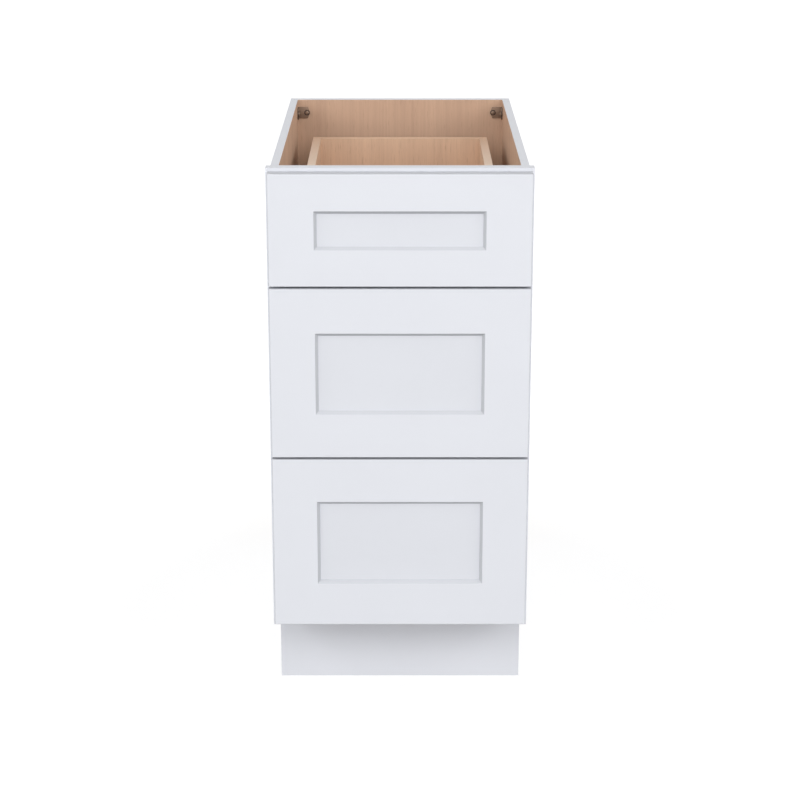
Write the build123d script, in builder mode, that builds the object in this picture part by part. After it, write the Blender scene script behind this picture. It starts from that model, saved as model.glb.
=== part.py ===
from build123d import *
import math
import os

# Vanity drawer base cabinet: a face-frame box with an open top, a toe kick and three drawers that
# run on slides hidden under them. Millimetres. X runs across the cabinet, the drawer fronts face -Y,
# and Z is up from the floor. The origin is the middle of the footprint.

# Cabinet box
cabinet_width = 381.0
cabinet_height = 812.8
cabinet_depth = 609.6
side_thickness = 12.0
side_inset = 6.35
back_thickness = 16.0
bottom_thickness = 12.0
dado_depth = 6.0
joint_clearance = 0.1

# Toe kick
kick_height = 114.3
kick_recess = 63.5
kick_thickness = 12.0

# Face frame
frame_thickness = 19.05
frame_stile_width = 41.3
frame_rail_width = 38.1
tenon_length = 12.0
tenon_thickness = 6.4
tenon_shoulder = 6.0
side_tongue_depth = 6.0
side_tongue_stop = 25.0

# Drawer fronts
front_thickness = 19.05
front_gap = 1.5
side_reveal = 3.2
top_reveal = 4.8
bottom_reveal = 8.7
front_spacing = 3.2
top_front_height = 163.0
middle_front_height = 254.0
front_stile_width = 65.0
top_front_rail_width = 53.3
deep_front_rail_width = 66.0
bevel_width = 4.2
bevel_depth = 4.5
panel_setback = 5.5
panel_tongue_thickness = 6.4
panel_play = 0.8
front_groove_depth = 9.5
edge_break = 0.6

# Drawer boxes
box_thickness = 12.7
box_side_gap = 5.2
slide_lift = 14.0
top_headroom = 14.1
deep_headroom = 30.0
rear_space = 61.7
box_bottom_recess = 12.7
box_bottom_thickness = 6.0
box_groove_depth = 6.0
dovetail_pitch = 25.4
dovetail_pin_width = 7.0
dovetail_slope = 9.0

# Slides: a fixed rail, a middle carriage and a runner under the drawer, on each side
slide_steel = 1.5
slide_clearance = 0.5
runner_width = 20.0
runner_side_gap = 0.8
rail_floor_gap = 2.0
rail_flange_height = 22.0
rail_stile_gap = 0.3
rail_setback = 1.0
rail_overrun = 4.0
carriage_setback = 110.0
carriage_web_drop = 10.0
latch_length = 55.0
latch_width = 28.0
latch_head_length = 20.0
latch_arm_width = 13.0
latch_floor_gap = 1.7
latch_runner_gap = 0.8
rear_bracket_steel = 2.0
rear_bracket_height = 32.0
rear_tongue_height = 3.0
rear_tongue_overlap = 35.0
rear_tongue_gap = 1.5

# Corner brackets at the back of the open top
bracket_leg = 20.2
bracket_height = 18.5
bracket_drop = 12.3
bracket_steel = 2.0
bracket_tip = 3.6
bracket_screw_inset = 15.4

# Screws and bumpers
screw_head_radius = 4.2
screw_head_height = 2.2
screw_head_taper = 18.0
screw_shank_radius = 2.0
front_screw_length = 22.0
fixing_screw_length = 12.0
bracket_screw_length = 10.0
front_screw_inset = 10.0
front_screw_side_inset = 37.0
rail_screw_rise = 16.0
rear_screw_rise = 21.0
bumper_radius = 4.0
bumper_clearance = 0.2
bumper_inset_x = 20.0
bumper_inset_z = 16.0

# Places worked out from the sizes above
half_width = cabinet_width / 2
overall_depth = cabinet_depth + front_gap + front_thickness
y_face = -overall_depth / 2
y_front_back = y_face + front_thickness
y_frame = y_front_back + front_gap
y_frame_back = y_frame + frame_thickness
y_frame_middle = (y_frame + y_frame_back) / 2
y_kick = y_frame + kick_recess
y_kick_back = y_kick + kick_thickness
y_back = overall_depth / 2
y_inside = y_back - back_thickness
x_outer = half_width - side_inset
x_inside = x_outer - side_thickness
x_opening = half_width - frame_stile_width
floor_top = kick_height + frame_rail_width
floor_underside = floor_top - bottom_thickness
tongue_z = (kick_height + side_tongue_stop, cabinet_height - side_tongue_stop)

top_front = (cabinet_height - top_reveal - top_front_height, cabinet_height - top_reveal)
middle_front_top = top_front[0] - front_spacing
middle_front = (middle_front_top - middle_front_height, middle_front_top)
bottom_front = (kick_height + bottom_reveal, middle_front[0] - front_spacing)
upper_rail_z = (top_front[0] + middle_front[1]) / 2
lower_rail_z = (middle_front[0] + bottom_front[1]) / 2
half_rail = frame_rail_width / 2
frame_rails = {
    "top_frame_rail": (cabinet_height - frame_rail_width, cabinet_height),
    "upper_frame_rail": (upper_rail_z - half_rail, upper_rail_z + half_rail),
    "lower_frame_rail": (lower_rail_z - half_rail, lower_rail_z + half_rail),
    "bottom_frame_rail": (kick_height, floor_top),
}

x_front = half_width - side_reveal
x_front_face = x_front - front_stile_width
x_front_edge = x_front_face - bevel_width
x_front_groove = x_front_edge + front_groove_depth
y_bevel = y_face + bevel_depth
y_groove = (y_face + panel_setback, y_face + panel_setback + panel_tongue_thickness + 2 * joint_clearance)
y_panel = y_groove[0] + joint_clearance

x_box = x_opening - box_side_gap
x_box_inside = x_box - box_thickness
y_box_inside = y_front_back + box_thickness
y_box_end = y_inside - rear_space
y_box_back = y_box_end - box_thickness
x_runner = (x_box_inside - runner_side_gap - runner_width, x_box_inside - runner_side_gap)
x_rail_flange = x_opening - rail_stile_gap
y_rail = (y_frame + rail_setback, y_box_end + rail_overrun)
y_runner = (y_box_inside + slide_clearance, y_box_end)
y_carriage = (y_runner[0], y_runner[1] - carriage_setback)
y_rear_plate = y_inside - rear_bracket_steel

bracket_z = (cabinet_height - bracket_drop - bracket_height, cabinet_height - bracket_drop)
pilot_radius = screw_shank_radius + joint_clearance
hands = {"left": -1, "right": 1}

os.makedirs("parts", exist_ok=True)


def middle(span):
    return (span[0] + span[1]) / 2


def length(span):
    return span[1] - span[0]


def grown(span, amount):
    return (span[0] - amount, span[1] + amount)


def sided(hand, inner, outer):
    return (min(hand * inner, hand * outer), max(hand * inner, hand * outer))


def board(x, y, z):
    with BuildPart() as blank:
        with BuildSketch(Plane.XY.offset(z[0])):
            with Locations((middle(x), middle(y))):
                Rectangle(length(x), length(y))
        extrude(amount=length(z))
    return blank.part


def drilled(seats, depth):
    with BuildPart() as holes:
        with BuildSketch(*seats):
            Circle(pilot_radius)
        extrude(amount=-depth)
    return holes.part


def save(piece, label):
    piece.part.label = label
    export_step(piece.part, f"parts/{label}.step")


def make_screws(label, seats, shank_length):
    with BuildPart() as screws:
        with BuildSketch(*seats):
            Circle(screw_head_radius)
        extrude(amount=screw_head_height, taper=screw_head_taper)
        with BuildSketch(*seats):
            Circle(screw_shank_radius)
        extrude(amount=-shank_length)
    save(screws, label)


# Drawers: each one's front, the face-frame opening behind it, and the sizes that differ between them
drawers = {
    "top": {
        "front": top_front,
        "opening": (frame_rails["upper_frame_rail"][1], frame_rails["top_frame_rail"][0]),
        "rail_width": top_front_rail_width,
        "headroom": top_headroom,
    },
    "middle": {
        "front": middle_front,
        "opening": (frame_rails["lower_frame_rail"][1], frame_rails["upper_frame_rail"][0]),
        "rail_width": deep_front_rail_width,
        "headroom": deep_headroom,
    },
    "bottom": {
        "front": bottom_front,
        "opening": (frame_rails["bottom_frame_rail"][1], frame_rails["lower_frame_rail"][0]),
        "rail_width": deep_front_rail_width,
        "headroom": deep_headroom,
    },
}

# Where every screw's head sits, as planes that face out of the wood
rail_seats = {}
for side, hand in hands.items():
    rail_seats[side] = []
    for drawer in drawers.values():
        seat_x = hand * (x_rail_flange - slide_steel)
        seat_z = drawer["opening"][0] + rail_screw_rise
        rail_seats[side].append(Plane((seat_x, y_frame_middle, seat_z), z_dir=(-hand, 0, 0)))

rear_seats = []
for drawer in drawers.values():
    for hand in hands.values():
        for seat_x in (middle(x_runner), middle((x_runner[1], x_rail_flange))):
            seat_z = drawer["opening"][0] + rear_screw_rise
            rear_seats.append(Plane((hand * seat_x, y_rear_plate, seat_z), z_dir=(0, -1, 0)))

bracket_side_seats = {}
bracket_back_seats = []
for side, hand in hands.items():
    seat_x = hand * (x_inside - bracket_steel)
    seat_y = y_inside - bracket_screw_inset
    bracket_side_seats[side] = Plane((seat_x, seat_y, middle(bracket_z)), z_dir=(-hand, 0, 0))
    seat_x = hand * (x_inside - bracket_screw_inset)
    seat_y = y_inside - bracket_steel
    bracket_back_seats.append(Plane((seat_x, seat_y, middle(bracket_z)), z_dir=(0, -1, 0)))


# Side panels: notched for the toe kick, tongued into the face frame, with dadoes for bottom and back
for side, hand in hands.items():
    side_x = sided(hand, x_inside, x_outer)
    dado_x = sided(hand, x_inside, x_inside + dado_depth)
    y_tongue = y_frame_back - side_tongue_depth + joint_clearance
    with BuildPart() as side_panel:
        with BuildSketch(Plane.YZ.offset(side_x[0])):
            with BuildLine():
                Polyline(
                    (y_kick_back, 0),
                    (y_back, 0),
                    (y_back, cabinet_height),
                    (y_frame_back, cabinet_height),
                    (y_frame_back, tongue_z[1]),
                    (y_tongue, tongue_z[1]),
                    (y_tongue, tongue_z[0]),
                    (y_frame_back, tongue_z[0]),
                    (y_frame_back, kick_height),
                    (y_kick_back, kick_height),
                    close=True,
                )
            make_face()
        extrude(amount=side_thickness)
        floor_dado = grown((floor_underside, floor_top), joint_clearance)
        add(board(dado_x, (y_frame_back, y_inside), floor_dado), mode=Mode.SUBTRACT)
        back_dado = (y_inside - joint_clearance, y_back)
        add(board(dado_x, back_dado, (0, cabinet_height)), mode=Mode.SUBTRACT)
        add(drilled([bracket_side_seats[side]], bracket_screw_length), mode=Mode.SUBTRACT)
    save(side_panel, f"{side}_side_panel")


# Back panel: sits in the sides' rabbets and is grooved for the bottom
back_half_width = x_inside + dado_depth - joint_clearance
with BuildPart() as back_panel:
    with BuildSketch(Plane.XY):
        with Locations((0, y_back - back_thickness / 2)):
            Rectangle(2 * back_half_width, back_thickness)
    extrude(amount=cabinet_height)
    groove_y = (y_inside, y_inside + dado_depth)
    groove_z = grown((floor_underside, floor_top), joint_clearance)
    add(board((-x_outer, x_outer), groove_y, groove_z), mode=Mode.SUBTRACT)
    add(drilled(rear_seats + bracket_back_seats, fixing_screw_length), mode=Mode.SUBTRACT)
save(back_panel, "back_panel")


# Bottom panel
with BuildPart() as bottom_panel:
    bottom_y = (y_frame_back, y_inside + dado_depth - joint_clearance)
    with BuildSketch(Plane.XY.offset(floor_underside)):
        with Locations((0, middle(bottom_y))):
            Rectangle(2 * back_half_width, length(bottom_y))
    extrude(amount=bottom_thickness)
save(bottom_panel, "bottom_panel")


# Toe-kick board: covers the sides' front edges below and reaches up between them to the bottom panel
with BuildPart() as toe_kick_board:
    kick_top = kick_height - joint_clearance
    kick_neck = x_inside - joint_clearance
    with BuildSketch(Plane.XZ.offset(-y_kick_back)):
        with BuildLine():
            Polyline(
                (-x_outer, 0),
                (x_outer, 0),
                (x_outer, kick_top),
                (kick_neck, kick_top),
                (kick_neck, floor_underside),
                (-kick_neck, floor_underside),
                (-kick_neck, kick_top),
                (-x_outer, kick_top),
                close=True,
            )
        make_face()
    extrude(amount=kick_thickness)
save(toe_kick_board, "toe_kick_board")


# Face-frame stiles: mortised for the rails and grooved at the back for the side panels
for side, hand in hands.items():
    stile_x = sided(hand, x_opening, half_width)
    groove_x = grown(sided(hand, x_inside, x_outer), joint_clearance)
    groove_y = (y_frame_back - side_tongue_depth, y_frame_back)
    mortise_x = sided(hand, x_opening, x_opening + tenon_length + joint_clearance)
    mortise_half = tenon_thickness / 2 + joint_clearance
    mortise_y = (y_frame_middle - mortise_half, y_frame_middle + mortise_half)
    with BuildPart() as frame_stile:
        with BuildSketch(Plane.XY.offset(kick_height)):
            with Locations((middle(stile_x), y_frame_middle)):
                Rectangle(frame_stile_width, frame_thickness)
        extrude(amount=cabinet_height - kick_height)
        front_edges = frame_stile.faces().sort_by(Axis.Y)[0].edges()
        chamfer(front_edges.filter_by(Axis.Z).sort_by(Axis.X, reverse=hand > 0)[0], edge_break)
        add(board(groove_x, groove_y, grown(tongue_z, joint_clearance)), mode=Mode.SUBTRACT)
        for rail_z in frame_rails.values():
            mortise_z = grown(rail_z, joint_clearance - tenon_shoulder)
            add(board(mortise_x, mortise_y, mortise_z), mode=Mode.SUBTRACT)
        add(drilled(rail_seats[side], fixing_screw_length), mode=Mode.SUBTRACT)
    save(frame_stile, f"{side}_frame_stile")


# Face-frame rails, with a tenon at each end
for rail_name, rail_z in frame_rails.items():
    with BuildPart() as frame_rail:
        with BuildSketch(Plane.XY.offset(rail_z[0])):
            with Locations((0, y_frame_middle)):
                Rectangle(2 * x_opening, frame_thickness)
        extrude(amount=length(rail_z))
        with BuildSketch(Plane.XY.offset(rail_z[0] + tenon_shoulder)):
            with Locations((0, y_frame_middle)):
                Rectangle(2 * (x_opening + tenon_length), tenon_thickness)
        extrude(amount=length(rail_z) - 2 * tenon_shoulder)
    save(frame_rail, rail_name)


# Corner brackets: an angle of flat steel in each back top corner, each leg ending in a tapered tip
with BuildPart() as corner_brackets:
    for side, hand in hands.items():
        corner_x = hand * x_inside
        reach_x = corner_x - hand * (bracket_leg - bracket_tip)
        tip_x = corner_x - hand * bracket_leg
        reach_y = y_inside - bracket_leg + bracket_tip
        tip_y = y_inside - bracket_leg
        with BuildSketch(Plane.XZ.offset(-y_inside)):
            with BuildLine():
                Polyline(
                    (corner_x, bracket_z[0]),
                    (reach_x, bracket_z[0]),
                    (tip_x, bracket_z[0] + bracket_tip),
                    (tip_x, bracket_z[1] - bracket_tip),
                    (reach_x, bracket_z[1]),
                    (corner_x, bracket_z[1]),
                    close=True,
                )
            make_face()
        extrude(amount=bracket_steel)
        with BuildSketch(Plane.YZ.offset(corner_x)):
            with BuildLine():
                Polyline(
                    (y_inside, bracket_z[0]),
                    (reach_y, bracket_z[0]),
                    (tip_y, bracket_z[0] + bracket_tip),
                    (tip_y, bracket_z[1] - bracket_tip),
                    (reach_y, bracket_z[1]),
                    (y_inside, bracket_z[1]),
                    close=True,
                )
            make_face()
        extrude(amount=-hand * bracket_steel)
    bracket_seats = bracket_back_seats + list(bracket_side_seats.values())
    add(drilled(bracket_seats, bracket_steel), mode=Mode.SUBTRACT)
save(corner_brackets, "corner_brackets")
make_screws("corner_bracket_screws", bracket_seats, bracket_screw_length)


# Fixed slide rails: a channel for the carriage and a flange that is screwed to the face-frame stile
with BuildPart() as slide_rails:
    for drawer in drawers.values():
        rail_bottom = drawer["opening"][0]
        base_top = rail_bottom + slide_steel
        wall_top = rail_bottom + slide_lift - rail_floor_gap
        flange_top = rail_bottom + rail_flange_height
        for hand in hands.values():
            with BuildSketch(Plane.XZ.offset(-y_rail[1])):
                with BuildLine():
                    Polyline(
                        (hand * x_runner[0], rail_bottom),
                        (hand * x_rail_flange, rail_bottom),
                        (hand * x_rail_flange, flange_top),
                        (hand * (x_rail_flange - slide_steel), flange_top),
                        (hand * (x_rail_flange - slide_steel), base_top),
                        (hand * x_runner[1], base_top),
                        (hand * x_runner[1], wall_top),
                        (hand * (x_runner[1] - slide_steel), wall_top),
                        (hand * (x_runner[1] - slide_steel), base_top),
                        (hand * (x_runner[0] + slide_steel), base_top),
                        (hand * (x_runner[0] + slide_steel), wall_top),
                        (hand * x_runner[0], wall_top),
                        close=True,
                    )
                make_face()
            extrude(amount=length(y_rail))
    for seats in rail_seats.values():
        add(drilled(seats, slide_steel), mode=Mode.SUBTRACT)
save(slide_rails, "slide_rails")


# Rear brackets: a plate on the back panel with a tongue that lies on each rail's base
with BuildPart() as slide_rear_brackets:
    for drawer in drawers.values():
        plate_z = (drawer["opening"][0], drawer["opening"][0] + rear_bracket_height)
        tongue_bottom = drawer["opening"][0] + slide_steel
        tongue_y = (y_rail[1] - rear_tongue_overlap, y_rear_plate)
        for hand in hands.values():
            plate_x = sided(hand, x_runner[0], x_rail_flange)
            tongue_x = sided(hand, x_runner[1] + rear_tongue_gap, x_rail_flange - slide_steel - rear_tongue_gap)
            add(board(plate_x, (y_rear_plate, y_inside), plate_z))
            add(board(tongue_x, tongue_y, (tongue_bottom, tongue_bottom + rear_tongue_height)))
    add(drilled(rear_seats, rear_bracket_steel), mode=Mode.SUBTRACT)
save(slide_rear_brackets, "slide_rear_brackets")
make_screws("slide_screws", rear_seats + rail_seats["left"] + rail_seats["right"], fixing_screw_length)


# Bumpers on the face frame, behind the corners of each drawer front
bumper_seats = []
for drawer in drawers.values():
    for hand in hands.values():
        for bumper_z in grown(drawer["front"], -bumper_inset_z):
            bumper_x = hand * (half_width - bumper_inset_x)
            bumper_seats.append(Plane((bumper_x, y_frame, bumper_z), z_dir=(0, -1, 0)))
with BuildPart() as front_bumpers:
    with BuildSketch(*bumper_seats):
        Circle(bumper_radius)
    extrude(amount=front_gap - bumper_clearance)
save(front_bumpers, "front_bumpers")


def make_front(name, front_z, rail_width, seats):
    stiles = []
    for side, hand in hands.items():
        with BuildPart() as front_stile:
            with BuildSketch(Plane.XY.offset(front_z[0])):
                with BuildLine():
                    Polyline(
                        (hand * x_front_face, y_face),
                        (hand * (x_front - edge_break), y_face),
                        (hand * x_front, y_face + edge_break),
                        (hand * x_front, y_front_back),
                        (hand * x_front_edge, y_front_back),
                        (hand * x_front_edge, y_groove[1]),
                        (hand * x_front_groove, y_groove[1]),
                        (hand * x_front_groove, y_groove[0]),
                        (hand * x_front_edge, y_groove[0]),
                        (hand * x_front_edge, y_bevel),
                        close=True,
                    )
                make_face()
            extrude(amount=length(front_z))
            face_edges = front_stile.faces().sort_by(Axis.Y)[0].edges()
            chamfer(face_edges.filter_by(Axis.X), edge_break)
        save(front_stile, f"{name}_front_{side}_stile")
        stiles.append(front_stile.part)

    rail_edges = []
    for place, outer_z, up in (("bottom", front_z[0], 1), ("top", front_z[1], -1)):
        inner_z = outer_z + up * (rail_width + bevel_width)
        groove_z = inner_z - up * front_groove_depth
        rail_edges.append(inner_z)
        with BuildPart() as front_rail:
            with BuildSketch(Plane.YZ.offset(-x_front_groove)):
                with BuildLine():
                    Polyline(
                        (y_face, outer_z + up * rail_width),
                        (y_face, outer_z + up * edge_break),
                        (y_face + edge_break, outer_z),
                        (y_front_back, outer_z),
                        (y_front_back, inner_z),
                        (y_groove[1], inner_z),
                        (y_groove[1], groove_z),
                        (y_groove[0], groove_z),
                        (y_groove[0], inner_z),
                        (y_bevel, inner_z),
                        close=True,
                    )
                make_face()
            extrude(amount=2 * x_front_groove)
            add(stiles, mode=Mode.SUBTRACT)
        save(front_rail, f"{name}_front_{place}_rail")

    tongue_reach = front_groove_depth - panel_play
    panel_half = x_front_edge - panel_play
    with BuildPart() as front_panel:
        add(board((-panel_half, panel_half), (y_panel, y_front_back), grown(rail_edges, -panel_play)))
        tongue_half = x_front_edge + tongue_reach
        tongue_y = (y_panel, y_panel + panel_tongue_thickness)
        add(board((-tongue_half, tongue_half), tongue_y, grown(rail_edges, tongue_reach)))
        add(drilled(seats, front_screw_length), mode=Mode.SUBTRACT)
    save(front_panel, f"{name}_front_panel")


def make_box(name, box_z, bottom_z, seats):
    bottom_x = x_box_inside + box_groove_depth
    bottom_y = (y_box_inside - box_groove_depth, y_box_back + box_groove_depth)
    groove = board((-bottom_x, bottom_x), bottom_y, grown(bottom_z, joint_clearance))
    pin_count = int(length(box_z) // dovetail_pitch)
    pin_tip = dovetail_pin_width / 2
    pin_root = pin_tip + box_thickness * math.tan(math.radians(dovetail_slope))

    sides = []
    for side, hand in hands.items():
        side_x = sided(hand, x_box_inside, x_box)
        with BuildPart() as box_side:
            add(board(side_x, (y_front_back, y_box_end), box_z))
            with BuildSketch(Plane.YZ.offset(side_x[0])):
                for end, root in ((y_front_back, y_box_inside), (y_box_end, y_box_back)):
                    for pin in range(pin_count):
                        pin_z = middle(box_z) + (pin - (pin_count - 1) / 2) * dovetail_pitch
                        with BuildLine():
                            Polyline(
                                (end, pin_z - pin_tip),
                                (root, pin_z - pin_root),
                                (root, pin_z + pin_root),
                                (end, pin_z + pin_tip),
                                close=True,
                            )
                        make_face()
            extrude(amount=box_thickness, mode=Mode.SUBTRACT)
            add(groove, mode=Mode.SUBTRACT)
        save(box_side, f"{name}_box_{side}_side")
        sides.append(box_side.part)

    with BuildPart() as box_front:
        add(board((-x_box, x_box), (y_front_back, y_box_inside), box_z))
        add(sides, mode=Mode.SUBTRACT)
        add(groove, mode=Mode.SUBTRACT)
        add(drilled(seats, front_screw_length), mode=Mode.SUBTRACT)
    save(box_front, f"{name}_box_front")

    with BuildPart() as box_back:
        add(board((-x_box, x_box), (y_box_back, y_box_end), box_z))
        add(sides, mode=Mode.SUBTRACT)
        add(groove, mode=Mode.SUBTRACT)
        for hand in hands.values():
            notch_x = sided(hand, x_runner[0] - runner_side_gap, x_box_inside)
            add(board(notch_x, (y_box_back, y_box_end), (box_z[0], bottom_z[0])), mode=Mode.SUBTRACT)
    save(box_back, f"{name}_box_back")

    with BuildPart() as box_bottom:
        sheet_half = bottom_x - joint_clearance
        add(board((-sheet_half, sheet_half), grown(bottom_y, -joint_clearance), bottom_z))
    save(box_bottom, f"{name}_box_bottom")


def make_slide(name, rail_bottom, runner_top):
    skirt_bottom = rail_bottom + slide_lift - rail_floor_gap + 2 * slide_clearance
    carriage_z = (rail_bottom + slide_steel + slide_clearance, runner_top - slide_steel - slide_clearance)
    inner_width = runner_width - 2 * slide_steel
    carriage_width = inner_width - 2 * slide_clearance
    web_bottom = carriage_z[1] - carriage_web_drop
    web = (web_bottom, web_bottom + slide_steel)

    with BuildPart() as slide_runners:
        with BuildSketch(Plane.XZ.offset(-y_runner[1])):
            for hand in hands.values():
                with Locations((hand * middle(x_runner), middle((skirt_bottom, runner_top)))):
                    Rectangle(runner_width, runner_top - skirt_bottom)
                channel = (skirt_bottom, runner_top - slide_steel)
                with Locations((hand * middle(x_runner), middle(channel))):
                    Rectangle(inner_width, length(channel), mode=Mode.SUBTRACT)
        extrude(amount=length(y_runner))
    save(slide_runners, f"{name}_slide_runners")

    with BuildPart() as slide_carriages:
        with BuildSketch(Plane.XZ.offset(-y_carriage[1])):
            for hand in hands.values():
                with Locations((hand * middle(x_runner), middle(carriage_z))):
                    Rectangle(carriage_width, length(carriage_z))
                for channel in ((carriage_z[0], web[0]), (web[1], carriage_z[1])):
                    with Locations((hand * middle(x_runner), middle(channel))):
                        Rectangle(carriage_width - 2 * slide_steel, length(channel), mode=Mode.SUBTRACT)
        extrude(amount=length(y_carriage))
    save(slide_carriages, f"{name}_slide_carriages")

    latch_height = box_bottom_recess - latch_floor_gap
    latch_outer = x_runner[0] - latch_runner_gap
    with BuildPart() as latch_clips:
        for hand in hands.values():
            with BuildSketch(Plane.XY.offset(runner_top - latch_height)):
                with BuildLine():
                    Polyline(
                        (hand * latch_outer, y_box_inside),
                        (hand * latch_outer, y_box_inside + latch_length),
                        (hand * (latch_outer - latch_arm_width), y_box_inside + latch_length),
                        (hand * (latch_outer - latch_arm_width), y_box_inside + latch_head_length),
                        (hand * (latch_outer - latch_width), y_box_inside + latch_head_length),
                        (hand * (latch_outer - latch_width), y_box_inside),
                        close=True,
                    )
                make_face()
            extrude(amount=latch_height)
    save(latch_clips, f"{name}_latch_clips")


for name, drawer in drawers.items():
    box_z = (drawer["opening"][0] + slide_lift, drawer["opening"][1] - drawer["headroom"])
    bottom_low = box_z[0] + box_bottom_recess
    bottom_z = (bottom_low, bottom_low + box_bottom_thickness)
    panel_z = grown(drawer["front"], -drawer["rail_width"] - bevel_width)
    seats = []
    for hand in hands.values():
        for seat_z in grown(panel_z, -front_screw_inset):
            seat_x = hand * (x_front_edge - front_screw_side_inset)
            seats.append(Plane((seat_x, y_box_inside, seat_z), z_dir=(0, 1, 0)))
    make_front(name, drawer["front"], drawer["rail_width"], seats)
    make_box(name, box_z, bottom_z, seats)
    make_slide(name, drawer["opening"][0], bottom_z[0])
    make_screws(f"{name}_front_screws", seats, front_screw_length)
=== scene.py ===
import bmesh
import bpy
import math
from mathutils import Color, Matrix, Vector


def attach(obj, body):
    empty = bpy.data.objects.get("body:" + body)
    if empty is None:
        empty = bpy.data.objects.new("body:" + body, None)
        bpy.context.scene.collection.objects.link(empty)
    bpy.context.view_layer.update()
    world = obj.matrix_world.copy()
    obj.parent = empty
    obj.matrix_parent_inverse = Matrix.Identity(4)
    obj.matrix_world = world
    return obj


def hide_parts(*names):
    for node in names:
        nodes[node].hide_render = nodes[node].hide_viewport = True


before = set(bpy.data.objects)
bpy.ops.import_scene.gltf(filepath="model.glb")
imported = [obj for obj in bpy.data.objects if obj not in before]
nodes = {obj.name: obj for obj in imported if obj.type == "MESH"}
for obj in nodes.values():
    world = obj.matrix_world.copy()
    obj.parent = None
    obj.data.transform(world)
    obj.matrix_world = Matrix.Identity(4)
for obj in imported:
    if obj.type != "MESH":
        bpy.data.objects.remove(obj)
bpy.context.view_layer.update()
scene = bpy.context.scene
drawers = ("top", "middle", "bottom")


# helpers that keep the node trees short
def plug(tree, socket, value):
    if isinstance(value, bpy.types.NodeSocket):
        tree.links.new(value, socket)
    else:
        socket.default_value = value


def addNode(tree, kind, inputs=None, **settings):
    made = tree.nodes.new(kind)
    for name, value in settings.items():
        setattr(made, name, value)
    for name, value in (inputs or {}).items():
        plug(tree, made.inputs[name], value)
    return made


screenWhite = 255


def linear(tone):  # a screen colour as the linear colour that a shader takes
    return [*Color([part / screenWhite for part in tone]).from_srgb_to_scene_linear(), 1.0]


def newMaterial(name):
    material = bpy.data.materials.new(name)
    material.use_nodes = True
    tree = material.node_tree
    return material, tree, tree.nodes["Principled BSDF"]


def partsOf(tree, vector):  # the x, y and z sockets of a vector
    return addNode(tree, "ShaderNodeSeparateXYZ", {0: vector}).outputs


def objectCoords(tree):
    return addNode(tree, "ShaderNodeTexCoord").outputs["Object"]


def objectNormal(tree):
    return partsOf(tree, addNode(tree, "ShaderNodeTexCoord").outputs["Normal"])


def maths(tree, operation, first, second=0.0):
    return addNode(tree, "ShaderNodeMath", {0: first, 1: second}, operation=operation).outputs[0]


def lengthOf(tree, vector):
    return addNode(tree, "ShaderNodeVectorMath", {0: vector}, operation="LENGTH").outputs["Value"]


def noise(tree, coords, scale, detail=3.0, roughness=0.5):  # scale is one number, or three for x, y and z
    scales = (scale, scale, scale) if isinstance(scale, float) else scale
    stretched = addNode(tree, "ShaderNodeMapping", {"Vector": coords, "Scale": scales}).outputs[0]
    inputs = {"Vector": stretched, "Scale": 1.0, "Detail": detail, "Roughness": roughness}
    return addNode(tree, "ShaderNodeTexNoise", inputs).outputs[0]


def rescale(tree, value, low, high, fromLow=0.0, fromHigh=1.0):
    inputs = {"Value": value, "From Min": fromLow, "From Max": fromHigh, "To Min": low, "To Max": high}
    return addNode(tree, "ShaderNodeMapRange", inputs).outputs[0]


# a Mix node's sockets for numbers and for colours share their names, so they are set by their place
def mixValues(tree, factor, first, second):
    return addNode(tree, "ShaderNodeMix", {0: factor, 2: first, 3: second}).outputs[0]


def mixTones(tree, factor, first, second):
    return addNode(tree, "ShaderNodeMix", {0: factor, 6: first, 7: second}, data_type="RGBA").outputs[2]


def finishWith(tree, shader, colour, roughness, height, bumpDepth):
    relief = addNode(tree, "ShaderNodeBump", {"Height": height, "Distance": bumpDepth}).outputs[0]
    plug(tree, shader.inputs["Base Color"], colour)
    plug(tree, shader.inputs["Roughness"], roughness)
    plug(tree, shader.inputs["Normal"], relief)


facingShare = 0.5


def facing(tree, part):  # 1 where this part of the normal is large, so that the face looks along it
    return maths(tree, "GREATER_THAN", part, facingShare)


# white paint: sprayed satin, with a faint cloud in the colour and orange peel in the gloss
paintLook = {
    "light": (227, 229, 235),
    "dark": (223, 225, 231),
    # painted shade: the recessed panel a tone darker than the rest of the front
    "panelShadedLight": (223, 225, 231),
    "panelShadedDark": (219, 221, 227),
    # painted shade: the greyer tone on the moulded bevels and the top edges of the fronts
    "profile": (190, 192, 197),
    "bevelFacing": (0.1, 0.9),  # a bevel looks forward by more than an edge and less than a face
    # how much painted shade the top edges take, and how much less the bevels that face up take
    "topEdgeShadeShare": 0.9,
    "upwardBevelShadeCut": 0.45,
    "cloud": {"scale": 9.0, "detail": 4.0},
    "peel": {"scale": 620.0, "detail": 2.0},
    "roughness": (0.36, 0.46),
    "bumpDepth": 0.00003,
}


def paintLayer(tree, coords, dark="dark", light="light"):
    cloud = noise(tree, coords, **paintLook["cloud"])
    colour = mixTones(tree, cloud, linear(paintLook[dark]), linear(paintLook[light]))
    peel = noise(tree, coords, **paintLook["peel"])
    return colour, rescale(tree, peel, *paintLook["roughness"]), peel


def makePaint():
    material, tree, shader = newMaterial("whitePaint")
    finishWith(tree, shader, *paintLayer(tree, objectCoords(tree)), paintLook["bumpDepth"])
    return material


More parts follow.
